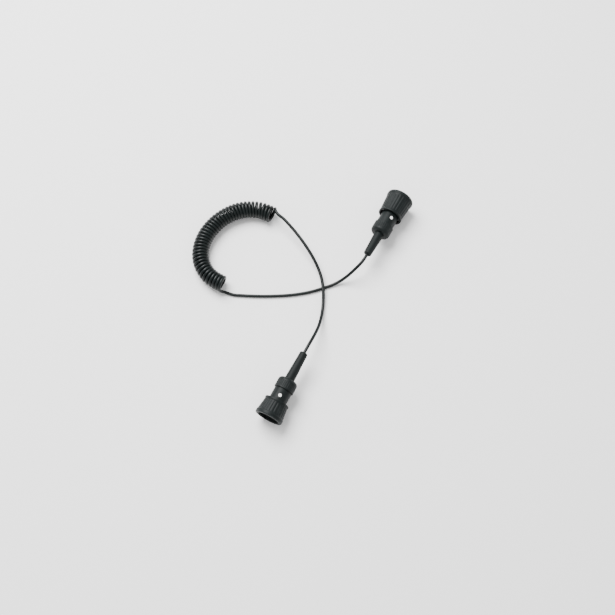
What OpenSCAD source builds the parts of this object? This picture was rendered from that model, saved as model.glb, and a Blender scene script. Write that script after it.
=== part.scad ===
// Retractile cord set: one jacketed cord, wound into a curly coil, with a
// circular bayonet plug on each end. Millimetres, +Z up. The origin lies on
// the surface that the set rests on, midway between the two plugs.
//
// Every piece of a plug is drawn on the plug's own axis. z = 0 there is the
// front face of the coupling ring's web, -z runs to the mouth and +z to the
// cord. place_a() and place_b() lay that axis down on the surface.

/* [Lay] */
// Distance of each plug's mouth from the middle of the set
mouth_y = 125; // [110:1:160]
// Sideways offset of each plug's axis from the middle
plug_x = 2.5; // [0:0.5:10]
// Angle at which the boots stand up off the surface
plug_tilt = 5; // [0:0.5:7]
// Turn of the near plug's index dot away from the top
index_turn_a = 6; // [-90:1:90]
// Turn of the far plug's index dot away from the top
index_turn_b = 25; // [-90:1:90]

/* [Coupling ring] */
// Depth of the near plug's mouth, from its rim to the web
nose_a = 12; // [11:0.5:16]
// Depth of the far plug's mouth, from its rim to the web
nose_b = 18.5; // [11:0.5:22]
// Height of the band at the mouth above the grip's rear end
band_rise = 1.9; // [1.2:0.1:5]
// Length of that band
band_len = 3.4; // [2:0.2:5]
// Step down from the band to the grip
band_step = 0.45; // [0.2:0.05:0.8]
// Wall of the ring at the grip's rear end
ring_wall = 1.35; // [1:0.05:2.5]
// Height of the bead round the rear rim, above the grip
bead_h = 0.4; // [0.2:0.1:0.8]
// Length of that bead
bead_len = 1.6; // [1:0.1:2.4]
// Number of grip flutes
flutes = 24; // [12:1:30]
// Radius of the cutter that makes a flute
flute_r = 1.1; // [0.8:0.1:1.3]
// Depth of a flute
flute_depth = 0.35; // [0.1:0.05:0.5]
// Widening of the bore at the mouth, on the radius
lead_rise = 0.25; // [0.2:0.05:0.5]
// Length of that lead-in bore
lead_len = 2.6; // [1.5:0.1:2.8]
// Room between the shell's flange and the ring's bore
ring_room = 0.4; // [0.2:0.05:0.8]
// Thickness of the web that the ring turns on
web_t = 1.6; // [1.2:0.1:2]
// Length of the hollow skirt behind the web
skirt_len = 3.4; // [2.6:0.1:5]
// Wall of that skirt
skirt_wall = 1.2; // [0.8:0.1:1.4]

/* [Bayonet tracks] */
// Number of tracks
tracks = 3; // [2:1:4]
// Width of a track
track_w = 2.4; // [1.8:0.1:2.8]
// Depth of a track below the ring's bore
track_depth = 1.1; // [0.6:0.1:1.2]
// Distance from the rim to the turn of a track
track_start = 4.6; // [4:0.1:5.5]
// Turn that a track takes the ring through
track_turn = 72; // [40:1:80]
// Step back of the detent at a track's end
track_detent = 0.6; // [0.2:0.1:0.8]

/* [Plug shell] */
// Diameter of the barrel that enters the mating half
barrel_d = 15; // [14.4:0.1:15.6]
// Wall of that barrel
barrel_wall = 1.2; // [1:0.1:1.8]
// Distance of the barrel's tip behind the ring's rim
barrel_set_back = 3; // [2.9:0.1:4]
// Width of the wide keyway
main_key_w = 2.2; // [1.6:0.1:2.4]
// Width of each narrow keyway
minor_key_w = 1.4; // [1:0.1:1.5]
// Depth of the keyways
key_depth = 0.5; // [0.2:0.05:0.7]
// Step up from the barrel to the seat that the ring turns on
seat_rise = 0.7; // [0.6:0.1:1.2]
// Running clearance of the ring on that body, on the radius
ring_clearance = 0.05; // [0.03:0.01:0.1]
// Height of the flange that stops the ring, above the seat
flange_rise = 1.15; // [0.8:0.05:1.6]
// Thickness of that flange
flange_t = 1.2; // [0.8:0.1:1.6]
// Room for the wave washer between flange and web
washer_room = 0.8; // [0.75:0.05:1]
// Wall of the shell under the thread's crests
thread_wall = 0.8; // [0.7:0.05:1.2]
// Step down from the seat to the thread under the clamp nut
thread_drop = 0.5; // [0.3:0.05:0.8]
// Pitch of that thread
thread_pitch = 1; // [0.8:0.1:1.2]
// Length of that thread
thread_len = 6; // [5:0.5:8]

/* [Inside] */
// Depth of the insert's face behind the ring's rim
insert_depth = 8; // [7.4:0.1:9]
// Depth of the contact tips behind the ring's rim
contact_depth = 5.4; // [5.2:0.1:6.5]
// Number of contacts
contacts_n = 3; // [2:1:4]
// Diameter of the circle that the contacts stand on
contact_circle = 6.2; // [5.6:0.1:7]
// Diameter of a contact
contact_d = 1.6; // [1:0.1:1.8]
// Diameter of a contact's solder cup
cup_d = 2.2; // [2:0.1:2.4]
// Diameter of a conductor over its insulation
wire_d = 0.9; // [0.6:0.1:1]

/* [Clamp nut] */
// Wall of the clamp nut over the thread
nut_wall = 1.5; // [1.2:0.1:2.4]
// Distance from the web to the nut's front face
nut_start = 16.5; // [14:0.5:20]
// Length of the nut's rounded shoulder
nut_shoulder = 3.3; // [2.5:0.1:4]
// Width of the shoulder's rear end round the boot
nut_lip = 1.3; // [0.8:0.1:2]
// Number of grip ribs round the nut
nut_ribs = 30; // [16:1:36]

/* [Boot and cord] */
// Wall of the boot where it leaves the nut
boot_wall = 3.1; // [2.4:0.1:3.8]
// Wall of the boot near its tip
boot_tip_wall = 2.2; // [1.8:0.1:2.8]
// Thickness of the boot's flange inside the nut
boot_flange_t = 1.4; // [1:0.1:2.4]
// Length of the near boot that shows behind the nut
boot_len_a = 28.4; // [20:0.2:32]
// Length of the far boot that shows behind the nut
boot_len_b = 24.4; // [20:0.2:32]
// Radius of the boot's rounded tip
boot_round = 1.6; // [0.8:0.1:1.8]
// Diameter of the cord's jacket
cord_d = 3; // [2.4:0.1:3.1]
// Diameter of the coil over its turns
coil_d = 16; // [14:0.5:16]

/* [Hidden] */
$fn = 64;

// Colours
moulded = [0.19, 0.22, 0.22];
rubber = [0.15, 0.18, 0.18];
steel = [0.62, 0.63, 0.65];
gold = [0.80, 0.66, 0.32];
jacket = [0.12, 0.15, 0.15];
white = [0.93, 0.93, 0.92];
wire_colours = [[0.75, 0.15, 0.12], [0.90, 0.90, 0.88], [0.15, 0.15, 0.16], [0.15, 0.35, 0.70]];

eps = 0.01;          // overshoot of a cutter past a face
fit_gap = 0.05;      // gap between a piece and the seat that it sits in
groove_wall = 0.5;   // depth of the snap ring's groove in the shell

// Diameters, each from the one that it fits
barrel_bore = barrel_d - 2 * barrel_wall;
seat_d = barrel_d + 2 * seat_rise;
flange_d = seat_d + 2 * flange_rise;
ring_bore_d = flange_d + 2 * ring_room;
mouth_d = ring_bore_d + 2 * lead_rise;
grip_d = ring_bore_d + 2 * ring_wall;
band_d = grip_d + 2 * band_rise;
thread_d = seat_d - 2 * thread_drop;
rear_bore = thread_d - 2 * thread_wall;
nut_d = thread_d + 2 * nut_wall;
boot_d = cord_d + 2 * boot_wall;
boot_tip_d = cord_d + 2 * boot_tip_wall;
nut_neck_d = boot_d + 2 * nut_lip;

// Stations along the plug's axis, from the web's front face
rim_z = web_t + skirt_len;
flange_rear_z = -washer_room;
flange_front_z = flange_rear_z - flange_t;
snap_z = web_t + 0.3;
snap_w = 1;
insert_seat_z = 0;
insert_flange_t = 1.5;
retainer_z = insert_seat_z + insert_flange_t;
retainer_t = 2;
insert_rear_z = retainer_z + retainer_t + 0.9;
cup_rear_z = insert_rear_z + 4;
cup_deep = 2.5;
shell_end_z = nut_start + thread_len;
grommet_t = 4.3;
clamp_t = 3.4;
grommet_z = shell_end_z - grommet_t - 0.1;
clamp_z = grommet_z - clamp_t - 0.1;
jacket_end_z = clamp_z - 0.6;
dot_z = rim_z + 4.6;
dot_d = 3;
dot_sunk = 0.35;
boot_flange_z = shell_end_z + 0.1;
nut_corner_z = boot_flange_z + boot_flange_t;
nut_len = nut_corner_z - nut_start;
neck_z = nut_corner_z + nut_shoulder;
tip_z_a = neck_z + boot_len_a;
tip_z_b = neck_z + boot_len_b;
nut_cavity_end_z = boot_flange_z + boot_flange_t + 0.1;
nut_bore_d = thread_d + 2 * fit_gap;
seal_section = 0.38; // radius of the nut seal's section
seal_z = nut_start + 0.6;

ring_web_bore = seat_d + 2 * ring_clearance;
snap_inner_r = seat_d / 2 - groove_wall + fit_gap;
snap_outer_r = flange_d / 2;
washer_t = 0.2;
washer_wave = 0.1;
washer_inner_r = ring_web_bore / 2 + 0.2;
washer_outer_r = flange_d / 2;
washer_steps = 48;
washer_waves = 3;

// ---------------------------------------------------------------- placing

// Height of a plug's axis at its mouth: the band's lowest point just touches
// the surface once the plug is tilted.
mouth_z = band_d / 2 * cos(plug_tilt);

// The near plug: mouth towards -Y.
module place_a() {
    translate([-plug_x, -mouth_y, mouth_z])
        rotate([plug_tilt - 90, 0, 0])
        translate([0, 0, nose_a])
        children();
}

// The far plug: the same, turned half round about the vertical.
module place_b() {
    rotate([0, 0, 180])
        translate([-plug_x, -mouth_y, mouth_z])
        rotate([plug_tilt - 90, 0, 0])
        translate([0, 0, nose_b])
        children();
}

// Where a boot's tip comes to, that far from the plug's mouth. side is -1 for
// the near plug and 1 for the far one.
function boot_tip(side, from_mouth) = [
    side * plug_x,
    side * (mouth_y - from_mouth * cos(plug_tilt)),
    mouth_z + from_mouth * sin(plug_tilt)
];

// ------------------------------------------------------------ plug pieces

// Solid of revolution from [radius, z] points.
module turned(points) {
    rotate_extrude() polygon(points);
}

// A tube round the plug's axis, from z0 to z1.
module tube(outer_r, inner_r, z0, z1) {
    difference() {
        translate([0, 0, z0]) cylinder(r = outer_r, h = z1 - z0);
        translate([0, 0, z0 - 1]) cylinder(r = inner_r, h = z1 - z0 + 2);
    }
}

// Children repeated round the plug's axis.
module around(count) {
    for (i = [0:count - 1]) rotate([0, 0, i * 360 / count]) children();
}

module ring_outline(nose) {
    mouth = -nose;
    r_band = band_d / 2;
    r_front = r_band - band_step;
    r_rear = grip_d / 2;
    r_skirt = r_rear - skirt_wall;
    turned([
        [mouth_d / 2 + 0.5, mouth],
        [r_band - 0.5, mouth],
        [r_band, mouth + 0.5],
        [r_band, mouth + band_len],
        [r_front, mouth + band_len + 0.5],
        [r_rear, rim_z - bead_len - 0.4],
        [r_rear + bead_h, rim_z - bead_len],
        [r_rear + bead_h, rim_z - 0.4],
        [r_rear + bead_h - 0.4, rim_z],
        [r_skirt, rim_z],
        [r_skirt, web_t],
        [ring_web_bore / 2, web_t],
        [ring_web_bore / 2, 0],
        [ring_bore_d / 2, 0],
        [ring_bore_d / 2, mouth + lead_len],
        [mouth_d / 2, mouth + lead_len],
        [mouth_d / 2, mouth + 0.5]
    ]);
}

// Flutes down the grip's taper, each a cylinder laid along the surface.
module grip_flutes(nose) {
    z0 = -nose + band_len + 1.2;
    z1 = rim_z - bead_len - 1;
    taper = atan2(band_d / 2 - band_step - grip_d / 2, rim_z - bead_len - 0.9 + nose - band_len);
    r0 = band_d / 2 - band_step - 0.7 * tan(taper) + flute_r - flute_depth;
    around(flutes)
        translate([r0, 0, z0])
        rotate([0, -taper, 0])
        cylinder(r = flute_r, h = (z1 - z0) / cos(taper), $fn = 24);
}

// A sector of the tracks' depth, cut from z0 to z1 over an angle.
module track_sector(turn, depth, z0, z1) {
    rotate_extrude(angle = turn)
        translate([ring_bore_d / 2 - 1, z0])
        square([depth + 1, z1 - z0]);
}

// One hooked track: in from the rim, round, and back into a detent.
module bayonet_track(nose) {
    start_z = track_start - nose;
    detent_turn = 16;
    translate([ring_bore_d / 2 - 1, -track_w / 2, -nose - 1])
        cube([track_depth + 0.9, track_w, track_start + track_w / 2 + 1]);
    track_sector(track_turn, track_depth, start_z, start_z + track_w);
    rotate([0, 0, track_turn - detent_turn])
        track_sector(detent_turn + 1, track_depth + 0.05, start_z - track_detent, start_z + track_w - 0.3);
}

module coupling_ring(nose) {
    color(moulded) difference() {
        ring_outline(nose);
        grip_flutes(nose);
        around(tracks) bayonet_track(nose);
    }
}

module snap_ring() {
    gap = 24;
    color(steel) rotate([0, 0, gap / 2]) rotate_extrude(angle = 360 - gap)
        translate([snap_inner_r, snap_z + fit_gap])
        square([snap_outer_r - snap_inner_r, snap_w - 2 * fit_gap]);
}

// Height of the washer's middle surface at an angle.
function washer_mid(a) = flange_rear_z + fit_gap + washer_t / 2 + washer_wave
    + washer_wave * sin(washer_waves * a);

// A flat spring washer with three waves, each of its rings of four points.
module wave_washer() {
    step = 360 / washer_steps;
    points = [for (i = [0:washer_steps - 1]) let (a = i * step, m = washer_mid(a)) each [
        [washer_inner_r * cos(a), washer_inner_r * sin(a), m - washer_t / 2],
        [washer_outer_r * cos(a), washer_outer_r * sin(a), m - washer_t / 2],
        [washer_outer_r * cos(a), washer_outer_r * sin(a), m + washer_t / 2],
        [washer_inner_r * cos(a), washer_inner_r * sin(a), m + washer_t / 2]
    ]];
    faces = [for (i = [0:washer_steps - 1]) for (k = [0:3]) let (
        a = 4 * i, b = 4 * ((i + 1) % washer_steps), n = (k + 1) % 4)
        each [[a + k, b + k, b + n], [a + k, b + n, a + n]]];
    color(steel) polyhedron(points = points, faces = faces, convexity = 4);
}

// Keyways along the barrel: one wide, four narrow.
module keyways(tip) {
    for (key = [[0, main_key_w], [75, minor_key_w], [130, minor_key_w],
                [230, minor_key_w], [285, minor_key_w]])
        rotate([0, 0, key[0]])
        translate([barrel_d / 2 - key_depth, -key[1] / 2, tip - 1])
        cube([key_depth + 1, key[1], flange_front_z - tip + 1]);
}

// Thread stood for by rings, so that the nut's bore stays round.
module thread_grooves() {
    count = floor((thread_len - 2.4) / thread_pitch);
    for (i = [0:count - 1])
        translate([0, 0, nut_start + 1.8 + i * thread_pitch])
        turned([
            [thread_d / 2 - 0.3, 0.2],
            [thread_d / 2 + eps, -0.1],
            [thread_d / 2 + eps, 0.7],
            [thread_d / 2 - 0.3, 0.4]
        ]);
}

module plug_shell(nose) {
    tip = barrel_set_back - nose;
    seat_r = seat_d / 2;
    color(moulded) difference() {
        turned([
            [barrel_bore / 2, tip + 0.4],
            [barrel_bore / 2 + 0.4, tip],
            [barrel_d / 2 - 0.4, tip],
            [barrel_d / 2, tip + 0.4],
            [barrel_d / 2, flange_front_z],
            [flange_d / 2, flange_front_z],
            [flange_d / 2, flange_rear_z],
            [seat_r, flange_rear_z],
            [seat_r, snap_z],
            [seat_r - groove_wall, snap_z],
            [seat_r - groove_wall, snap_z + snap_w],
            [seat_r, snap_z + snap_w],
            [seat_r, nut_start - 0.3],
            [seat_r - 0.3, nut_start],
            [thread_d / 2, nut_start],
            [thread_d / 2, shell_end_z - 0.4],
            [thread_d / 2 - 0.4, shell_end_z],
            [rear_bore / 2, shell_end_z],
            [rear_bore / 2, insert_seat_z],
            [barrel_bore / 2, insert_seat_z]
        ]);
        keyways(tip);
        thread_grooves();
        translate([0, 0, dot_z]) rotate([0, 90, 0])
            translate([0, 0, seat_r - dot_sunk - fit_gap]) cylinder(d = dot_d + 2 * fit_gap, h = 3);
    }
}

// The dot sits flush: its top follows the round of the shell.
module index_dot() {
    color(white) intersection() {
        translate([0, 0, dot_z]) rotate([0, 90, 0])
            translate([0, 0, seat_d / 2 - dot_sunk]) cylinder(d = dot_d, h = 3);
        translate([0, 0, dot_z - dot_d]) cylinder(d = seat_d + 0.12, h = 2 * dot_d, $fn = 256);
    }
}

// Children at each contact's place.
module each_contact() {
    around(contacts_n) translate([contact_circle / 2, 0, 0]) children();
}

module insert(nose) {
    face = insert_depth - nose;
    color(rubber) difference() {
        turned([
            [0, face],
            [barrel_bore / 2 - fit_gap, face],
            [barrel_bore / 2 - fit_gap, insert_seat_z + fit_gap],
            [rear_bore / 2 - fit_gap, insert_seat_z + fit_gap],
            [rear_bore / 2 - fit_gap, retainer_z],
            [barrel_bore / 2 - 0.3, retainer_z],
            [barrel_bore / 2 - 0.3, insert_rear_z],
            [0, insert_rear_z]
        ]);
        each_contact() {
            translate([0, 0, face - 1]) cylinder(d = contact_d + 2 * fit_gap, h = retainer_z - face + 1 + eps);
            translate([0, 0, retainer_z]) cylinder(d = cup_d + 2 * fit_gap, h = insert_rear_z - retainer_z + 1);
        }
    }
}

module insert_retainer() {
    spanner_slots = 4;
    color(steel) difference() {
        tube(rear_bore / 2 - fit_gap, barrel_bore / 2 - 0.3 + fit_gap, retainer_z + fit_gap, retainer_z + retainer_t);
        around(spanner_slots) translate([barrel_bore / 2 - 1, -0.5, retainer_z + retainer_t - 0.7]) cube([2, 1, 1]);
    }
}

// A soft disc on the insert's face, with a boss round each contact.
module face_seal(nose) {
    face = insert_depth - nose;
    seal_t = 0.7;
    boss_h = 0.5;
    color(rubber) difference() {
        union() {
            translate([0, 0, face - seal_t]) cylinder(d = barrel_bore - 0.3, h = seal_t - eps);
            each_contact() translate([0, 0, face - seal_t - boss_h]) cylinder(d = contact_d + 1.2, h = boss_h + eps);
        }
        each_contact() translate([0, 0, face - 3]) cylinder(d = contact_d + 2 * fit_gap, h = 4);
    }
}

module contact(nose) {
    tip = contact_depth - nose;
    nib = 0.5;
    difference() {
        turned([
            [0, tip],
            [contact_d / 2 - nib, tip],
            [contact_d / 2, tip + nib],
            [contact_d / 2, retainer_z + 0.1],
            [cup_d / 2, retainer_z + 0.1],
            [cup_d / 2, cup_rear_z],
            [0, cup_rear_z]
        ]);
        translate([0, 0, cup_rear_z - cup_deep]) cylinder(d = wire_d + 0.4, h = cup_deep + 1);
    }
}

module contacts(nose) {
    color(gold) each_contact() contact(nose);
}

// Each conductor is soldered just inside its cup and draws in to the jacket.
module conductors() {
    in_cup = 0.4;
    end_r = cord_d / 4;
    from = [contact_circle / 2, 0, cup_rear_z - in_cup];
    to = [end_r, 0, jacket_end_z - 0.3];
    run = to - from;
    for (i = [0:contacts_n - 1]) color(wire_colours[i]) rotate([0, 0, i * 360 / contacts_n])
        translate(from)
        rotate([0, -atan2(contact_circle / 2 - end_r, run[2]), 0])
        cylinder(d = wire_d, h = norm(run));
}

// A split collar that grips the jacket.
module cable_clamp() {
    clamp_slots = 4;
    color(steel) difference() {
        tube(rear_bore / 2 - fit_gap - 0.1, cord_d / 2 + fit_gap, clamp_z, clamp_z + clamp_t);
        around(clamp_slots) translate([cord_d / 2 - 0.5, -0.4, clamp_z - 1]) cube([rear_bore / 2 - 2, 0.8, clamp_t]);
    }
}

module grommet() {
    lip_r = rear_bore / 2 - fit_gap;
    color(rubber) turned([
        [cord_d / 2 + fit_gap, grommet_z],
        [lip_r, grommet_z],
        [lip_r, grommet_z + 1],
        [lip_r - 0.5, grommet_z + 1.4],
        [lip_r - 0.5, grommet_z + grommet_t - 1.4],
        [lip_r, grommet_z + grommet_t - 1],
        [lip_r, grommet_z + grommet_t],
        [cord_d / 2 + fit_gap, grommet_z + grommet_t]
    ]);
}

module nut_seal() {
    color(rubber) translate([0, 0, seal_z]) rotate_extrude()
        translate([thread_d / 2 + seal_section + 0.02, 0]) circle(r = seal_section, $fn = 24);
}

// Shallow ribs round the nut, cut as grooves between them.
module nut_grooves() {
    groove_r = 0.5;
    groove_in = 0.18;
    around(nut_ribs)
        translate([nut_d / 2 + groove_r - groove_in, 0, nut_start + 1.4])
        cylinder(r = groove_r, h = nut_len - 2.2, $fn = 16);
}

// The rounded shoulder falls from the nut's side to its neck as a quarter
// of an ellipse.
module clamp_nut() {
    shoulder_steps = 8;
    seal_pocket_r = thread_d / 2 + 2 * seal_section + 0.05;
    drop = (nut_d - nut_neck_d) / 2;
    color(moulded) difference() {
        turned(concat(
            [
                [nut_bore_d / 2, nut_start + 1.4],
                [seal_pocket_r, nut_start + 1.4],
                [seal_pocket_r, nut_start + fit_gap],
                [nut_d / 2 - 0.4, nut_start + fit_gap],
                [nut_d / 2, nut_start + 0.4 + fit_gap]
            ],
            [for (i = [0:shoulder_steps]) let (a = 90 * i / shoulder_steps) [
                nut_neck_d / 2 + drop * cos(a),
                nut_corner_z + nut_shoulder * sin(a)
            ]],
            [
                [boot_d / 2 + fit_gap, neck_z],
                [boot_d / 2 + fit_gap, nut_cavity_end_z],
                [nut_bore_d / 2, nut_cavity_end_z]
            ]
        ));
        nut_grooves();
    }
}

// The boot: a flange held by the nut, a long taper and a rounded tip.
module boot(tip_z) {
    tip_steps = 6;
    bore_r = cord_d / 2 + fit_gap;
    color(rubber) turned(concat(
        [
            [bore_r, boot_flange_z],
            [rear_bore / 2, boot_flange_z],
            [rear_bore / 2, boot_flange_z + boot_flange_t],
            [boot_d / 2, boot_flange_z + boot_flange_t],
            [boot_d / 2, neck_z]
        ],
        [for (i = [0:tip_steps]) let (a = 90 * i / tip_steps) [
            boot_tip_d / 2 - boot_round + boot_round * cos(a),
            tip_z - boot_round + boot_round * sin(a)
        ]],
        [[bore_r, tip_z]]
    ));
}

module cord_end(tip_z) {
    color(jacket) translate([0, 0, jacket_end_z]) cylinder(d = cord_d, h = tip_z - jacket_end_z);
}

// ------------------------------------------------------------------- cord

// Lie of the cord from the near boot's tip to the coil. It comes down off the
// boot, crosses over the other stretch in a long low hump and climbs to the
// top of the coil.
tail_a_route = [
    [-2.5, -54.5, 19], [-2.6, -48.5, 18.8], [-2.8, -42.5, 17.4], [-3.3, -36.5, 15],
    [-4.1, -30.5, 12.2], [-5.2, -24.5, 9.2], [-6.7, -18.8, 6.6], [-8.5, -13, 4.6],
    [-10.5, -7.5, 3.4], [-12.8, -2, 3], [-15.2, 3, 3.4], [-17.8, 8, 4.2],
    [-20.8, 12.8, 4.9], [-24.2, 17.5, 5.5], [-28.2, 22, 6.3], [-33, 26.4, 7.1],
    [-38.5, 30.6, 8.4], [-44.5, 34.6, 9.6], [-51, 38.4, 10.7], [-58, 42.2, 11.6],
    [-65, 45.6, 12.3], [-72, 48.8, 12.8], [-79, 51.7, 13.2], [-86, 54.3, 13.4],
    [-92.5, 56.2, 13.3], [-98.8, 57.4, 12.7]
];

// Lie of the cord from the foot of the coil's other end to the far boot's tip.
tail_b_route = [
    [-105, -33.8, 3.2], [-98.4, -34.2, 1.8], [-91.5, -32.4, 1.5], [-85, -29.8, 1.5],
    [-78.5, -26.8, 1.5], [-72, -23.6, 1.5], [-65.5, -20.3, 1.5], [-59, -16.7, 1.5],
    [-52.5, -12.9, 1.5], [-46, -8.8, 1.5], [-39.5, -4.3, 1.5], [-33, 0.8, 1.5],
    [-27, 6.2, 1.5], [-21.5, 12, 1.5], [-17, 17, 1.5], [-13.2, 21.4, 2.1],
    [-9.7, 25.8, 3.9], [-6.4, 30.2, 7.1], [-3.5, 34.6, 11], [-1, 39, 14.8],
    [1, 43.4, 17.7], [2.2, 48, 19.2]
];

// Middle of the coil, from its first end round to its foot.
coil_route = [
    [-99, 54.2], [-107.5, 53.5], [-115.5, 50.8], [-123, 46.3], [-129, 40.5],
    [-134, 33.5], [-137.8, 25.5], [-140, 17], [-141, 8], [-140.2, -1],
    [-137.5, -9.8], [-132.8, -17.6], [-126, -24], [-116.5, -28.4], [-105, -29.6]
];

function unit(v) = v / norm(v);

// Ring of points round a route's point i: flat side down, apothem d / 2.
function sweep_ring(route, i, sides, d) =
    let (
        last = len(route) - 1,
        t = unit(route[min(i + 1, last)] - route[max(i - 1, 0)]),
        side = unit(cross([0, 0, 1], t)),
        up = cross(t, side),
        r = d / 2 / cos(180 / sides)
    )
    [for (j = [0:sides - 1]) let (a = (j + 0.5) * 360 / sides)
        route[i] + r * (cos(a) * side + sin(a) * up)];

// One closed tube swept along a route.
module swept(route, sides, d) {
    last = len(route) - 1;
    points = [for (i = [0:last]) each sweep_ring(route, i, sides, d)];
    side_faces = [for (i = [0:last - 1]) for (j = [0:sides - 1]) let (n = (j + 1) % sides)
        each [
            [i * sides + j, (i + 1) * sides + j, (i + 1) * sides + n],
            [i * sides + j, (i + 1) * sides + n, i * sides + n]
        ]];
    first_cap = [for (j = [0:sides - 1]) j];
    last_cap = [for (j = [sides - 1:-1:0]) last * sides + j];
    polyhedron(points = points, faces = concat(side_faces, [first_cap, last_cap]), convexity = 8);
}

cord_sides = 8;
coil_sides = 12;

module cord_tail_a() {
    color(jacket) swept(concat([boot_tip(-1, nose_a + tip_z_a)], tail_a_route), cord_sides, cord_d);
}

module cord_tail_b() {
    color(jacket) swept(concat(tail_b_route, [boot_tip(1, nose_b + tip_z_b)]), cord_sides, cord_d);
}

// The coil's outer shape, laid on the surface.
module cord_coil() {
    color(jacket) swept([for (p = coil_route) [p[0], p[1], coil_d / 2]], coil_sides, coil_d);
}

// ------------------------------------------------------------------ nodes

// The index dot, its pocket and the keyways start at +X of the plug's axis,
// which this turns up to the top and then by the plug's own index turn.
module indexed_a() { place_a() rotate([0, 0, -90 + index_turn_a]) children(); }
module indexed_b() { place_b() rotate([0, 0, -90 - index_turn_b]) children(); }

place_a() coupling_ring(nose_a);  // coupling_ring_a
place_a() snap_ring();  // snap_ring_a
place_a() wave_washer();  // wave_washer_a
indexed_a() plug_shell(nose_a);  // plug_shell_a
indexed_a() insert(nose_a);  // insert_a
indexed_a() insert_retainer();  // insert_retainer_a
indexed_a() face_seal(nose_a);  // face_seal_a
indexed_a() contacts(nose_a);  // contacts_a
indexed_a() conductors();  // conductors_a
indexed_a() cable_clamp();  // cable_clamp_a
place_a() grommet();  // grommet_a
indexed_a() index_dot();  // index_dot_a
place_a() nut_seal();  // nut_seal_a
place_a() clamp_nut();  // clamp_nut_a
place_a() boot(tip_z_a);  // boot_a
place_a() cord_end(tip_z_a);  // cord_end_a
place_b() coupling_ring(nose_b);  // coupling_ring_b
place_b() snap_ring();  // snap_ring_b
place_b() wave_washer();  // wave_washer_b
indexed_b() plug_shell(nose_b);  // plug_shell_b
indexed_b() insert(nose_b);  // insert_b
indexed_b() insert_retainer();  // insert_retainer_b
indexed_b() face_seal(nose_b);  // face_seal_b
indexed_b() contacts(nose_b);  // contacts_b
indexed_b() conductors();  // conductors_b
indexed_b() cable_clamp();  // cable_clamp_b
place_b() grommet();  // grommet_b
indexed_b() index_dot();  // index_dot_b
place_b() nut_seal();  // nut_seal_b
place_b() clamp_nut();  // clamp_nut_b
place_b() boot(tip_z_b);  // boot_b
place_b() cord_end(tip_z_b);  // cord_end_b
cord_tail_a();
cord_coil();
cord_tail_b();
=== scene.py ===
import math

import bpy
import numpy as np
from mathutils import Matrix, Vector


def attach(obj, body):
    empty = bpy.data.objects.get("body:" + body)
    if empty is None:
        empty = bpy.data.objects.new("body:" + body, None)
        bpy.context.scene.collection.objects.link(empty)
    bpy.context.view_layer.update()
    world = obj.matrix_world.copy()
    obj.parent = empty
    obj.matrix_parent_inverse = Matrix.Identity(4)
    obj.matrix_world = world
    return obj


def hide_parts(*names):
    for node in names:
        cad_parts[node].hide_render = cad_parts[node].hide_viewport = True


# Looks for a retractile cord set: one curly cord with a circular bayonet plug
# on each end. Lengths are in millimetres until place() or metres() turns them
# into the frame's metres. A plug is made on its own axis: z = 0 is the front
# face of the coupling ring's web, -z runs to the mouth and +z to the cord.

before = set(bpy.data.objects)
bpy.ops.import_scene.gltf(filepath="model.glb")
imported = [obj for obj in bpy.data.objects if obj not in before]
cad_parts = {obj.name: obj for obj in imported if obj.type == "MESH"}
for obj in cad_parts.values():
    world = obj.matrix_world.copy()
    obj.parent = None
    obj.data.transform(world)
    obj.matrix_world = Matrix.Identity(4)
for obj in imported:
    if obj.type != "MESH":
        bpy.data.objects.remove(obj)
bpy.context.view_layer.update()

MM = 0.001
TAU = 2 * math.pi


# --------------------------------------------------------------------- lines


def metres(points):
    return np.asarray(points, float) * MM


def smooth_line(points, step):
    """Natural cubic spline through the points, with its chord length as the
    parameter: between knots k and k+1 it is (m[k] w^3 + m[k+1] u^3) / 6h plus
    the straight part that meets the knots, sampled about every step."""
    p = np.asarray(points, float)
    t = np.concatenate([[0], np.cumsum(np.linalg.norm(np.diff(p, axis=0), axis=1))])
    h, n = np.diff(t), len(p)
    slopes = np.diff(p, axis=0) / h[:, None]
    system, right = np.eye(n), np.zeros(p.shape)
    i = np.arange(1, n - 1)
    system[i, i - 1], system[i, i + 1] = h[:-1], h[1:]
    system[i, i] = 2 * (h[:-1] + h[1:])
    right[1:-1] = 6 * np.diff(slopes, axis=0)
    m = np.linalg.solve(system, right)
    at = np.linspace(0, t[-1], max(2, math.ceil(t[-1] / step) + 1))
    k = np.clip(np.searchsorted(t, at, side="right") - 1, 0, n - 2)
    hk, u, w = h[k][:, None], (at - t[k])[:, None], (t[k + 1] - at)[:, None]
    return (
        (m[k] * w**3 + m[k + 1] * u**3) / (6 * hk)
        + (p[k] / hk - m[k] * hk / 6) * w
        + (p[k + 1] / hk - m[k + 1] * hk / 6) * u
    )


def smoothstep(x, low=0.0, high=1.0):
    x = np.clip((x - low) / (high - low), 0, 1)
    return x * x * (3 - 2 * x)


# -------------------------------------------------------------------- camera


def make_camera(target, azimuth, elevation, distance, lens):
    a, e = math.radians(azimuth), math.radians(elevation)
    back = Vector((math.sin(a) * math.cos(e), -math.cos(a) * math.cos(e), math.sin(e)))
    data = bpy.data.cameras.new("camera")
    data.lens = lens
    camera = bpy.data.objects.new("camera", data)
    camera.location = Vector(target) + back * distance
    camera.rotation_mode = "QUATERNION"
    camera.rotation_quaternion = (-back).to_track_quat("-Z", "Y")
    bpy.context.scene.collection.objects.link(camera)
    bpy.context.scene.camera = camera


make_camera((-0.0245, -0.0104, 0.0), azimuth=28.2, elevation=67, distance=1.30, lens=82.7)


# ---------------------------------------------------------------------- cord

CORD_D = 3.0
COIL_D = 16
# Where the plugs lie: each mouth's middle is at (-+PLUG_X, -+MOUTH_Y, MOUTH_Z),
# plug "a" on the minus side, and the boot's end is raised by TILT.
PLUG_X, MOUTH_Y, TILT = 2.5, 125, math.radians(5)
BAND_R = 13
MOUTH_Z = BAND_R * math.cos(TILT)
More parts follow.
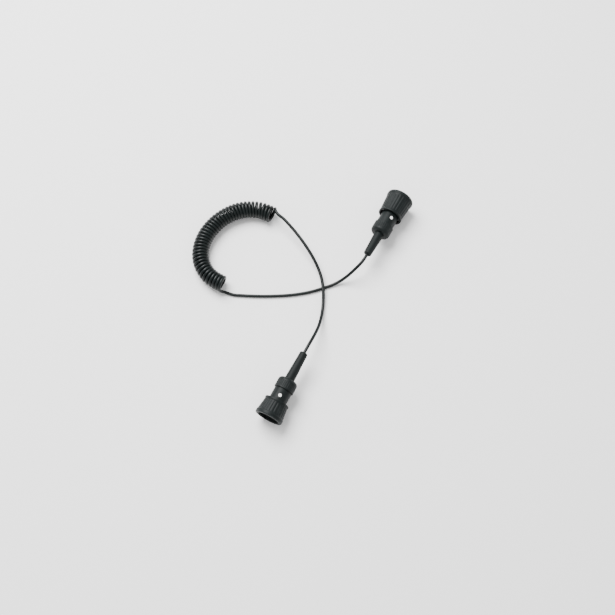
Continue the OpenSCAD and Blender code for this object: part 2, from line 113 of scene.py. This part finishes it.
# Lengths on a plug's axis: from the web's face to the mouth and to the tip.
NOSE = {"a": 12.0, "b": 18.5}
TIP_Z = {"a": 55.7, "b": 51.7}

# The route of the cord's middle: the near tail, the coil's axis seen from above
# and the far tail.
TAIL_A = [
    (-2.5, -54.5, 19), (-2.6, -48.5, 18.8), (-2.8, -42.5, 17.4), (-3.3, -36.5, 15),
    (-4.1, -30.5, 12.2), (-5.2, -24.5, 9.2), (-6.7, -18.8, 6.6), (-8.5, -13, 4.6),
    (-10.5, -7.5, 3.4), (-12.8, -2, 3), (-15.2, 3, 3.4), (-17.8, 8, 4.2),
    (-20.8, 12.8, 4.9), (-24.2, 17.5, 5.5), (-28.2, 22, 6.3), (-33, 26.4, 7.1),
    (-38.5, 30.6, 8.4), (-44.5, 34.6, 9.6), (-51, 38.4, 10.7), (-58, 42.2, 11.6),
    (-65, 45.6, 12.4), (-72, 48.7, 13.1), (-79, 51.4, 13.8), (-85, 53.4, 14.2),
]
COIL = [
    (-99, 54.2), (-107.5, 53.5), (-115.5, 50.8), (-123, 46.3), (-129, 40.5),
    (-134, 33.5), (-137.8, 25.5), (-140, 17), (-141, 8), (-140.2, -1),
    (-137.5, -9.8), (-132.8, -17.6), (-126, -24), (-116.5, -28.4), (-105, -29.6),
]
TAIL_B = [
    (-91.5, -32.4, 1.5), (-85, -29.8, 1.5),
    (-78.5, -26.8, 1.5), (-72, -23.6, 1.5), (-65.5, -20.3, 1.5), (-59, -16.7, 1.5),
    (-52.5, -12.9, 1.5), (-46, -8.8, 1.5), (-39.5, -4.3, 1.5), (-33, 0.8, 1.5),
    (-27, 6.2, 1.5), (-21.5, 12, 1.5), (-17, 17, 1.5), (-13.2, 21.4, 2.1),
    (-9.7, 25.8, 3.9), (-6.4, 30.2, 7.1), (-3.5, 34.6, 11), (-1, 39, 14.8),
    (1, 43.4, 17.7), (2.2, 48, 19.2),
]

# Where the cord joins the first turn and leaves the last one, as angles round
# the coil's axis from its left side over the top, seen along its route.
FIRST_ANGLE = math.radians(98)
LAST_ANGLE = math.radians(228)
# Angle between the cord and the coil's axis at those two places, which lie
# this far beyond the coil's ends, so that its turns are full from end to end.
FIRST_LEAN = math.radians(24)
LAST_LEAN = math.radians(33)
FIRST_BEYOND, LAST_BEYOND = 7.0, 6.2
# Least radius of the cord's bend where it turns out of the coil.
TIGHTEST = 6.42
# How far the turns keep apart inside the coil's bend: at 1 they only touch
# there, and at 0 their middles keep their spacing.
PACKED = 0.4


def boot_tip(side, end, inside=0.0):
    """The point of a boot's tip on the plug's axis, or that far inside it."""
    along = NOSE[end] + TIP_Z[end] - inside
    return (
        side * PLUG_X,
        side * (MOUTH_Y - along * math.cos(TILT)),
        MOUTH_Z + along * math.sin(TILT),
    )


def easing(lean, full, radius):
    """Distance along the axis against the sine of the cord's lean, while the
    cord bends from lean to full no tighter than TIGHTEST: the bend within the
    surface is what the turn's own roundness, sin^2 / radius, leaves of it."""
    sines = np.linspace(math.sin(lean), math.sin(full), 200)
    free = np.sqrt(1 / TIGHTEST**2 - (sines**2 / radius) ** 2)
    step = np.diff(sines) / ((free[1:] + free[:-1]) / 2)
    return np.concatenate([[0], np.cumsum(step)]), sines


def wound(turns_per_circle):
    """The cord's line through the coil: a right-handed helix of mean radius
    (COIL_D - CORD_D) / 2 round the smoothed route. The lean rises from the
    tail's to the helix's at each end. The turns touch where the route is
    straight. Where it bends they stand apart outside and press into each
    other inside, by up to a sixth of the cord."""
    radius = (COIL_D - CORD_D) / 2
    step, spread = 0.1, 60
    axis = smooth_line(COIL, step)
    for end, inner, beyond in ((0, 1, FIRST_BEYOND), (-1, -2, LAST_BEYOND)):
        out = axis[end] - axis[inner]
        reach = np.arange(1, beyond / step)[:, None] * out
        longer = axis[end] + (reach[::-1] if end == 0 else reach)
        axis = np.concatenate([longer, axis] if end == 0 else [axis, longer])
    ahead = np.gradient(axis, axis=0)
    s = np.concatenate([[0], np.cumsum(np.linalg.norm(np.diff(axis, axis=0), axis=1))])
    ahead /= np.linalg.norm(ahead, axis=1)[:, None]
    heading = np.unwrap(np.arctan2(ahead[:, 1], ahead[:, 0]))
    bend = np.abs(np.gradient(heading, s))
    kernel = np.full(2 * spread + 1, 1 / (2 * spread + 1))
    bend = np.convolve(np.pad(bend, spread, mode="edge"), kernel, "valid")
    drift = 1 + 0.01 * np.sin(s / 7.3) + 0.008 * np.sin(s / 2.9 + 1)
    pitch = 1.01 * CORD_D
    for _ in range(8):
        rate = TAU * (1 - PACKED * radius * bend) / (pitch * drift)
        lean = np.arctan(radius * rate)
        for from_end, start_lean, full in (
            (s, FIRST_LEAN, lean[0]),
            (s[-1] - s, LAST_LEAN, lean[-1]),
        ):
            along, sines = easing(start_lean, full, radius)
            eased = np.arcsin(np.interp(from_end, along, sines))
            lean = np.where(from_end < along[-1], np.minimum(lean, eased), lean)
        rate = np.tan(lean) / radius
        angle = FIRST_ANGLE + np.concatenate(
            [[0], np.cumsum((rate[1:] + rate[:-1]) / 2 * np.diff(s))]
        )
        over = (angle[-1] - LAST_ANGLE) / TAU
        pitch *= 1 + (over - round(over)) / over
    count = int((angle[-1] - angle[0]) / TAU * turns_per_circle)
    at = np.interp(np.linspace(angle[0], angle[-1], count), angle, s)
    angle = np.interp(at, s, angle)
    centre = np.stack([np.interp(at, s, axis[:, 0]), np.interp(at, s, axis[:, 1])], 1)
    turn = np.interp(at, s, heading)
    inside = smoothstep(at, 0, 6) * smoothstep(s[-1] - at, 0, 6)
    wander = radius + 0.05 * np.sin(at / 5.1) * inside
    side = wander * np.cos(angle)
    return np.stack(
        [
            centre[:, 0] - side * np.sin(turn),
            centre[:, 1] + side * np.cos(turn),
            COIL_D / 2 + wander * np.sin(angle),
        ],
        axis=1,
    )


def cord_line():
    """Tail, coil and tail as one line. Each tail is a smooth line that runs on
    through the coil's first few points, so it meets the coil with no kink."""
    coil = wound(26)
    step, shared = 1.2, slice(3, 22, 3)
    first = smooth_line(
        [boot_tip(-1, "a", 3), boot_tip(-1, "a"), *TAIL_A, coil[0], *coil[shared]],
        step,
    )
    last = smooth_line(
        [*coil[::-1][shared][::-1], coil[-1], *TAIL_B, boot_tip(1, "b"), boot_tip(1, "b", 3)],
        step,
    )
    first = first[: np.linalg.norm(first - coil[0], axis=1).argmin()]
    last = last[np.linalg.norm(last - coil[-1], axis=1).argmin() + 1 :]
    return np.concatenate([first, coil, last])


def make_cord(line, sides=18):
    """A round tube along the line, closed at both ends. Point (k, j) is line_k
    + radius (cos first_k + sin second_k) of the angle 360 j / sides + turn_k.
    Ring k lies across the line, first_k and second_k are any two directions
    square to it, and turn_k is the sum of the angles from each ring's first to
    the ring before's, carried along the bend, so that the tube doesn't twist."""
    ahead = np.gradient(line, axis=0)
    ahead /= np.linalg.norm(ahead, axis=1)[:, None]
    first = np.cross(ahead, np.eye(3)[np.abs(ahead).argmin(axis=1)])
    first /= np.linalg.norm(first, axis=1)[:, None]
    second = np.cross(ahead, first)
    here, there, moved = ahead[:-1], ahead[1:], first[:-1]
    share = (moved * there).sum(axis=1) / (1 + (here * there).sum(axis=1))
    moved = moved - share[:, None] * (here + there)
    twist = np.arctan2((moved * second[1:]).sum(axis=1), (moved * first[1:]).sum(axis=1))
    turn = np.concatenate([[0], np.cumsum(twist)])
    angle = (np.arange(sides) * TAU / sides + turn[:, None])[:, :, None]
    round_line = np.cos(angle) * first[:, None] + np.sin(angle) * second[:, None]
    spots = line[:, None] + CORD_D / 2 * round_line
    rings = np.arange(len(line))
    i, j = np.meshgrid(rings[:-1], np.arange(sides), indexing="ij")
    j2 = (j + 1) % sides
    quads = np.stack([i, i, i + 1, i + 1], 2) * sides + np.stack([j, j2, j2, j], 2)
    count, last = len(line) * sides, (len(line) - 1) * sides
    around = np.arange(sides)
    front = np.stack([np.full(sides, count), np.roll(around, -1), around], 1)
    back = np.stack([np.full(sides, count + 1), last + around, last + np.roll(around, -1)], 1)
    corners = np.concatenate([spots.reshape(-1, 3), line[[0, -1]]])
    faces = [*quads.reshape(-1, 4).tolist(), *front.tolist(), *back.tolist()]
    mesh = bpy.data.meshes.new("curly_cord")
    mesh.from_pydata(metres(corners).tolist(), [], faces)
    mesh.polygons.foreach_set("use_smooth", np.ones(len(faces), bool))
    cord = bpy.data.objects.new("curly_cord", mesh)
    bpy.context.scene.collection.objects.link(cord)
    return cord


line = cord_line()
cord = make_cord(line)
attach(cord, "cable")
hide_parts("cord_tail_a", "cord_coil", "cord_tail_b")
[x * MM for x in boot_tip(-1, "a")]


# ----------------------------------------------------------------- materials


class Wire:
    """A shader socket in an expression: each operator adds its Math node."""

    def __init__(self, finish, socket):
        self.finish, self.socket = finish, socket

    def _math(self, operation, *values):
        return self.finish.node("ShaderNodeMath", {"operation": operation}, values)

    def __add__(self, other):
        return self._math("ADD", self, other)

    def __sub__(self, other):
        return self._math("SUBTRACT", self, other)

    def __mul__(self, other):
        return self._math("MULTIPLY", self, other)

    def between(self, low, high):
        """0 below low, 1 above high and a smooth rise from one to the other."""
        return self.finish.node(
            "ShaderNodeMapRange",
            {"interpolation_type": "SMOOTHSTEP"},
            {"Value": self, "From Min": low, "From Max": high},
        )

    __radd__ = __add__


class Finish:
    """A material, with methods that add nodes and set its shader."""

    def __init__(self, name):
        self.material = bpy.data.materials.new(name)
        self.material.use_nodes = True
        self.tree = self.material.node_tree
        self.shader = self.tree.nodes["Principled BSDF"]

    def node(self, kind, settings=None, inputs=None, output=0):
        made = self.tree.nodes.new(kind)
        for key, value in (settings or {}).items():
            setattr(made, key, value)
        pairs = inputs.items() if isinstance(inputs, dict) else enumerate(inputs or ())
        for key, value in pairs:
            self.plug(made.inputs[key], value)
        return Wire(self, made.outputs[output])

    def plug(self, socket, value):
        if isinstance(value, Wire):
            self.tree.links.new(value.socket, socket)
        else:
            socket.default_value = value

    def set(self, **inputs):
        """Sets the shader's sockets, named with _ for a space."""
        for name, value in inputs.items():
            self.plug(self.shader.inputs[name.replace("_", " ")], value)

    def coordinates(self):
        return self.node("ShaderNodeTexCoord", {}, {}, "Object")

    def attribute(self, name):
        return self.node("ShaderNodeAttribute", {"attribute_name": name}, {}, "Fac")

    def noise(self, scale, detail=3.0, roughness=0.5):
        return self.node(
            "ShaderNodeTexNoise",
            {},
            {
                "Vector": self.coordinates(),
                "Scale": scale,
                "Detail": detail,
                "Roughness": roughness,
            },
            "Fac",
        )

    def mix(self, factor, a, b):
        """Colour a where factor is 0 and colour b where it is 1."""
        made = self.tree.nodes.new("ShaderNodeMix")
        made.data_type = "RGBA"
        for socket, value in ((0, factor), (6, a), (7, b)):
            value = (*value, 1) if isinstance(value, tuple) else value
            self.plug(made.inputs[socket], value)
        return Wire(self, made.outputs[2])

    def bump(self, height, distance, strength):
        inputs = {"Height": height, "Distance": distance, "Strength": strength}
        return self.node("ShaderNodeBump", {}, inputs)


def moulded_shell():
    """Near-black thermoplastic with a fine spark-eroded grain, rubbed a little
    paler and smoother along the attribute "edge"."""
    f = Finish("moulded_shell")
    edge = f.attribute("edge")
    mottle = f.noise(140, 4, 0.6)
    rubbed = edge * f.noise(900, 3).between(0.35, 0.65)
    tone = f.mix(mottle.between(0.3, 0.7), (0.0035, 0.0055, 0.0055), (0.006, 0.0085, 0.0085))
    grain = f.noise(5200, 2, 0.6)
    f.set(
        Base_Color=f.mix(rubbed * 0.55, tone, (0.03, 0.036, 0.036)),
        Roughness=0.44 + mottle * 0.1 - rubbed * 0.1,
        Normal=f.bump(grain, 0.00004, 0.55),
        Specular_IOR_Level=0.14,
    )
    return f.material


def boot_rubber():
    """Dull black rubber with a soft bloom and a fine grain."""
    f = Finish("boot_rubber")
    bloom = f.noise(90, 5, 0.65)
    tone = f.mix(bloom.between(0.35, 0.75), (0.0035, 0.0055, 0.0055), (0.0065, 0.009, 0.009))
    f.set(
        Base_Color=tone,
        Roughness=0.5 + bloom * 0.14,
        Normal=f.bump(f.noise(3800, 3, 0.6), 0.00004, 0.5),
        Specular_IOR_Level=0.14,
    )
    return f.material


def cord_jacket():
    """Smooth black polyurethane: soft gloss, faint handling marks."""
    f = Finish("cord_jacket")
    handled = f.noise(60, 4, 0.6)
    scuffs = f.noise(1500, 2, 0.5)
    f.set(
        Base_Color=f.mix(handled.between(0.3, 0.7), (0.002, 0.0035, 0.0035), (0.004, 0.0065, 0.0065)),
        Roughness=0.27 + handled * 0.12 + scuffs * 0.05,
        Normal=f.bump(scuffs, 0.00002, 0.35),
        Specular_IOR_Level=0.2,
    )
    return f.material


def insert_rubber():
    """Matt black rubber, for the inserts and the seals."""
    f = Finish("insert_rubber")
    bloom = f.noise(400, 4, 0.6)
    f.set(
        Base_Color=f.mix(bloom.between(0.3, 0.7), (0.004, 0.006, 0.006), (0.009, 0.012, 0.012)),
        Roughness=0.6 + bloom * 0.15,
        Normal=f.bump(f.noise(4000, 2, 0.6), 0.00003, 0.4),
    )
    return f.material


def spring_steel():
    """Blackened spring steel: dark, with fine bright scratches."""
    f = Finish("spring_steel")
    scratches = f.noise(2600, 4, 0.7)
    f.set(
        Base_Color=f.mix(f.noise(300, 3).between(0.3, 0.7), (0.045, 0.046, 0.05), (0.09, 0.09, 0.095)),
        Metallic=1.0,
        Roughness=0.34 + scratches * 0.2,
        Normal=f.bump(scratches, 0.00002, 0.4),
    )
    return f.material


def plated_contacts():
    """Gold plate with a faint haze."""
    f = Finish("plated_contacts")
    haze = f.noise(700, 3, 0.6)
    f.set(
        Base_Color=f.mix(haze.between(0.3, 0.7), (0.86, 0.60, 0.22), (0.93, 0.70, 0.32)),
        Metallic=1.0,
        Roughness=0.16 + haze * 0.14,
        Normal=f.bump(haze, 0.00001, 0.3),
    )
    return f.material


def index_white():
    """White paint fill, very slightly soiled."""
    f = Finish("index_white")
    soil = f.noise(900, 4, 0.6)
    f.set(
        Base_Color=f.mix(soil.between(0.55, 0.85), (0.86, 0.86, 0.84), (0.70, 0.70, 0.67)),
        Roughness=0.38 + soil * 0.15,
        Normal=f.bump(soil, 0.00002, 0.3),
    )
    return f.material


def wire_insulation():
    """Red insulation with slightly darker patches."""
    f = Finish("wire_insulation")
    mark = f.noise(500, 3, 0.5)
    f.set(
        Base_Color=f.mix(mark.between(0.4, 0.8), (0.42, 0.03, 0.02), (0.336, 0.024, 0.016)),
        Roughness=0.34 + mark * 0.1,
        Normal=f.bump(mark, 0.00001, 0.3),
    )
    return f.material


SHELL, BOOT, JACKET = moulded_shell(), boot_rubber(), cord_jacket()
INSERT, STEEL, PLATED, WHITE = insert_rubber(), spring_steel(), plated_contacts(), index_white()
WIRES = wire_insulation()

for base, material in {
    "coupling_ring": SHELL, "plug_shell": SHELL, "clamp_nut": SHELL, "boot": BOOT,
    "cord_end": JACKET, "insert": INSERT, "face_seal": INSERT, "grommet": INSERT,
    "nut_seal": INSERT, "snap_ring": STEEL, "wave_washer": STEEL, "insert_retainer": STEEL,
    "cable_clamp": STEEL, "contacts": PLATED, "conductors": WIRES, "index_dot": WHITE,
}.items():
    for end in "ab":
        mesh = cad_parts[f"{base}_{end}"].data
        mesh.materials.clear()
        mesh.materials.append(material)
cord.data.materials.append(JACKET)


# -------------------------------------------------------------------- plugs

# Radii (_R) and heights (_Z) of the skins, on the plug's axis. The _IN heights
# are counted in from the ring's mouth.
LIP_R, LEAD_R, BORE_R, CHAMFER_IN, LEAD_IN = 10.5, 10, 9.75, 0.5, 2.6
BAND_IN, GRIP_IN, GRIP_FRONT_R, GRIP_BACK_R, GRIP_MEAN_R = 3.4, 3.9, 12.55, 11.1, 11.6
GRIP_Z, BEAD_Z, RIM_Z, RIM_R, SKIRT_R = 3.0, 3.4, 5, 11.5, 9.9
WEB_Z, WEB_R = 1.6, 8.25
FLUTES, FLUTE_HALF, FLUTE_DEPTH = 24, 1.0, 0.3
TRACKS, TRACK_HALF, TRACK_DEPTH, TRACK_IN, TRACK_TURN = 3, 1.2, 1.0, 4.6, math.radians(72)
NUT_Z, SEAL_Z, CORNER_Z, SEAT_Z, NECK_Z = 16.55, 17.9, 24.0, 24.1, 27.3
NUT_R, SEAL_R, THREAD_R, HOLE_R, SHOULDER = 9.2, 8.5, 7.75, 4.65, 3.3
RIBS, RIB_HALF, RIB_DEPTH = 30, 0.48, 0.2
FLANGE_Z, FLANGE_R, NECK_R, TIP_R, CORD_HOLE_R = 22.6, 6.9, 4.6, 3.7, CORD_D / 2 + 0.05
BOOT_WAVE, BOOT_UNDER = 0.02, 0.04
# Cut of the edge at each ring's mouth.
FRONT = {"a": 1.1, "b": 2.0}
# Depths of a corner, as corner_wear measures it, where wear starts and is full.
WEAR_START, WEAR_FULL = 0.004, 0.03


def rounded(corners, step):
    """The closed outline through (r, z, cut) corners. A corner's two sides are
    cut that far from it and joined by the parabola that they touch there, and
    the straight parts between are split at about every step."""
    corners = np.asarray(corners, float)
    point, cut = corners[:, :2], corners[:, 2:]
    to_last = np.roll(point, 1, axis=0) - point
    to_next = np.roll(point, -1, axis=0) - point
    start = point + cut * to_last / np.linalg.norm(to_last, axis=1)[:, None]
    end = point + cut * to_next / np.linalg.norm(to_next, axis=1)[:, None]
    pieces = []
    for a, b, c, q, following in zip(start, point, end, cut[:, 0], np.roll(start, -1, axis=0)):
        t = np.linspace(0, 1, 6 if q else 1)[:, None]
        pieces.append((1 - t) ** 2 * a + 2 * t * (1 - t) * b + t**2 * c)
        count = max(1, round(np.linalg.norm(following - c) / step))
        pieces.append(c + (following - c) * np.arange(1, count)[:, None] / count)
    return np.concatenate(pieces)


def lathe(outline, around, relief):
    """A closed outline of (r, z) points turned round z, as one closed grid:
    point (i, j) is (r_i + d) at the angle 360 j / around and the height z_i,
    where d is relief(angle, r, z). The faces point outward whichever way the
    outline runs. Returns the points and the quads."""
    n, m = len(outline), around
    angle = np.repeat((np.arange(m) * TAU / m)[None, :], n, axis=0)
    r, z = (np.repeat(outline[:, k : k + 1], m, axis=1) for k in (0, 1))
    r = r + relief(angle, r, z)
    spots = np.stack([r * np.cos(angle), r * np.sin(angle), z], axis=2).reshape(-1, 3)
    i, j = np.meshgrid(np.arange(n), np.arange(m), indexing="ij")
    i2, j2 = (i + 1) % n, (j + 1) % m
    quads = np.stack([i * m + j, i2 * m + j, i2 * m + j2, i * m + j2], axis=2).reshape(-1, 4)
    following = np.roll(outline, -1, axis=0)
    area = (outline[:, 0] * following[:, 1] - following[:, 0] * outline[:, 1]).sum()
    return spots, quads[:, ::-1] if area > 0 else quads


def place(side, nose, points):
    """From a plug's own axes to the row's, in metres."""
    c, s = math.cos(TILT), math.sin(TILT)
    x, y, along = points[:, 0], points[:, 1], points[:, 2] + nose
    return np.stack(
        [
            side * (PLUG_X - x),
            side * (MOUTH_Y - s * y - c * along),
            MOUTH_Z - c * y + s * along,
        ],
        axis=1,
    ) * MM


def corner_wear(spots, quads):
    """How sharply the surface turns at each point, 0 to 1: the distance from
    the point to the mean of its neighbours, along its normal."""
    total = np.zeros_like(spots)
    count = np.zeros(len(spots))
    normal = np.zeros_like(spots)
    diagonal = np.cross(
        spots[quads[:, 2]] - spots[quads[:, 0]], spots[quads[:, 3]] - spots[quads[:, 1]]
    )
    for k in range(4):
        for other in (1, 3):
            np.add.at(total, quads[:, k], spots[quads[:, (k + other) % 4]])
            np.add.at(count, quads[:, k], 1)
        np.add.at(normal, quads[:, k], diagonal)
    normal /= np.linalg.norm(normal, axis=1)[:, None] + 1e-12
    hollow = ((spots - total / count[:, None]) * normal).sum(axis=1)
    return smoothstep(hollow, WEAR_START, WEAR_FULL)


def make_piece(name, side, nose, made, material, node, body):
    """A mesh object that stands for the node, with its corners' wear as the
    attribute "edge"."""
    spots, quads = made
    mesh = bpy.data.meshes.new(name)
    mesh.vertices.add(len(spots))
    mesh.vertices.foreach_set("co", place(side, nose, spots).astype(np.float32).ravel())
    mesh.loops.add(quads.size)
    mesh.loops.foreach_set("vertex_index", quads.astype(np.int32).ravel())
    mesh.polygons.add(len(quads))
    mesh.polygons.foreach_set("loop_start", np.arange(0, quads.size, 4, dtype=np.int32))
    mesh.polygons.foreach_set("use_smooth", np.ones(len(quads), bool))
    edge = mesh.attributes.new("edge", "FLOAT", "POINT")
    edge.data.foreach_set("value", corner_wear(spots, quads).astype(np.float32))
    mesh.update(calc_edges=True)
    mesh.validate()
    mesh.materials.append(material)
    piece = bpy.data.objects.new(name, mesh)
    bpy.context.scene.collection.objects.link(piece)
    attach(piece, body)
    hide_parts(node)


def grooves(angle, number, radius, half):
    """Grooves side by side round a cylinder: 1 along the middle of each, 0 from
    half a groove's width away, and a cosine between."""
    each = TAU / number
    across = (np.mod(angle + each / 2, each) - each / 2) * radius
    return (1 + np.cos(np.clip(across / half, -1, 1) * math.pi)) / 2


def ring_piece(nose, front):
    """The coupling ring: band, fluted taper, bead, hollow skirt and web, with
    three hooked tracks sunk in the bore. The band's front edge is cut by
    front."""
    m = -nose
    outline = rounded(
        [
            (LIP_R, m, 0.15), (BAND_R, m, front), (BAND_R, m + BAND_IN, 0.35),
            (GRIP_FRONT_R, m + GRIP_IN, 0.3), (GRIP_BACK_R, GRIP_Z, 0.3),
            (RIM_R, BEAD_Z, 0.25), (RIM_R, RIM_Z, 0.4), (SKIRT_R, RIM_Z, 0.3),
            (SKIRT_R, WEB_Z, 0.3), (WEB_R, WEB_Z, 0.1), (WEB_R, 0, 0.1), (BORE_R, 0, 0.1),
            (BORE_R, m + LEAD_IN, 0.3), (LEAD_R, m + LEAD_IN, 0.1), (LEAD_R, m + CHAMFER_IN, 0.2),
        ],
        0.4,
    )

    def relief(angle, r, z):
        """Flutes outside, and in the bore each track's slot from the mouth and
        its hook, which runs round from the slot's end."""
        flute = grooves(angle, FLUTES, GRIP_MEAN_R, FLUTE_HALF) * (r > LIP_R)
        faded = smoothstep(z, m + GRIP_IN + 0.3, m + GRIP_IN + 1.5) * smoothstep(GRIP_Z - 0.1 - z, 0, 1.2)
        # A track's own part of the circle starts this angle before its slot's
        # middle, and its walls slope over twice this length.
        before, soft = 0.2, 0.2
        arc = (np.mod(angle + before, TAU / TRACKS) - before) * BORE_R
        start = m + TRACK_IN
        slot = smoothstep(TRACK_HALF - np.abs(arc), -soft, soft) * smoothstep(
            start + TRACK_HALF - z, -soft, soft
        )
        level = smoothstep(z, start - soft, start + soft) * smoothstep(
            start + 2 * TRACK_HALF - z, -soft, soft
        )
        hook = level * smoothstep(arc, -soft, soft) * smoothstep(TRACK_TURN * BORE_R - arc, -soft, soft)
        bore = (r < LIP_R - 0.2) & (z > m + CHAMFER_IN - 0.1) & (z < -0.3)
        return bore * np.maximum(slot, hook) * TRACK_DEPTH - FLUTE_DEPTH * flute * faded

    return lathe(outline, 384, relief)


def nut_piece():
    """The clamp nut: 30 shallow grooves round its side and a shoulder that
    falls as a quarter of a circle."""
    shoulder = [
        (NUT_R - SHOULDER + SHOULDER * math.cos(t), CORNER_Z + SHOULDER * math.sin(t), 0)
        for t in np.radians(np.arange(0, 91, 9))
    ]
    outline = rounded(
        [
            (THREAD_R, SEAL_Z, 0.1), (SEAL_R, SEAL_Z, 0.1), (SEAL_R, NUT_Z, 0.1),
            (NUT_R, NUT_Z, 0.3), *shoulder, (HOLE_R, NECK_Z, 0.15), (HOLE_R, SEAT_Z, 0),
            (THREAD_R, SEAT_Z, 0),
        ],
        0.3,
    )

    def relief(angle, r, z):
        """Ribs round the side that fade out towards both its ends."""
        groove = grooves(angle, RIBS, NUT_R, RIB_HALF)
        faded = smoothstep(z, NUT_Z + 0.75, NUT_Z + 1.55) * smoothstep(CORNER_Z + 0.2 - z, 0, 1.0)
        return -RIB_DEPTH * groove * (r > NUT_R - 0.2) * faded

    return lathe(outline, 360, relief)


def boot_piece(tip_z):
    """The boot: a flange inside the nut, a long taper and a rounded tip."""
    outline = rounded(
        [
            (CORD_HOLE_R, FLANGE_Z, 0), (FLANGE_R, FLANGE_Z, 0.1), (FLANGE_R, CORNER_Z, 0.1),
            (NECK_R, CORNER_Z, 0), (NECK_R, NECK_Z, 0.1), (TIP_R, tip_z, 1.5),
            (CORD_HOLE_R, tip_z, 0.25),
        ],
        0.5,
    )

    def relief(angle, r, z):
        """A moulded skin that is never quite true, a hair under the CAD boot's."""
        wave = np.sin(3 * angle + z * 0.22) + np.sin(2 * angle - z * 0.35 + 1)
        taper = (z > NECK_Z + 0.5) & (z < tip_z - 2)
        outside = r > 2 * CORD_HOLE_R
        return (BOOT_WAVE * wave * taper - BOOT_UNDER) * outside

    return lathe(outline, 96, relief)


for side, end in ((-1, "a"), (1, "b")):
    nose = NOSE[end]
    ring = ring_piece(nose, FRONT[end])
    for made, material, node, body, slot in (
        (ring, SHELL, "coupling_ring", "coupling_ring_" + end, "moulded_shell"),
        (nut_piece(), SHELL, "clamp_nut", "cable", "moulded_shell"),
        (boot_piece(TIP_Z[end]), BOOT, "boot", "cable", "boot_rubber"),
    ):
        make_piece(f"{node}_{end}_skin", side, nose, made, material, f"{node}_{end}", body)


# --------------------------------------------------------------------- stage


def make_floor():
    f = Finish("paper_floor")
    f.set(Base_Color=(0.92, 0.92, 0.92, 1), Roughness=0.9, Specular_IOR_Level=0.1)
    mesh = bpy.data.meshes.new("floor")
    half = 3.0
    mesh.from_pydata(
        [(-half, -half, 0), (half, -half, 0), (half, half, 0), (-half, half, 0)], [], [(0, 1, 2, 3)]
    )
    mesh.materials.append(f.material)
    floor = bpy.data.objects.new("floor", mesh)
    bpy.context.scene.collection.objects.link(floor)


def make_light(name, place, aim, size, watts):
    data = bpy.data.lights.new(name, "AREA")
    data.shape, data.size, data.energy = "DISK", size, watts
    lamp = bpy.data.objects.new(name, data)
    lamp.location = place
    lamp.rotation_mode = "QUATERNION"
    lamp.rotation_quaternion = (Vector(aim) - Vector(place)).to_track_quat("-Z", "Y")
    bpy.context.scene.collection.objects.link(lamp)


def make_world(strength):
    world = bpy.data.worlds.new("studio")
    world.use_nodes = True
    background = world.node_tree.nodes["Background"]
    background.inputs["Color"].default_value = (1, 1, 1, 1)
    background.inputs["Strength"].default_value = strength
    bpy.context.scene.world = world


make_floor()
make_world(1.05)
make_light("key", place=(-0.75, 0.35, 1.25), aim=(-0.03, 0.0, 0.0), size=1.1, watts=60)
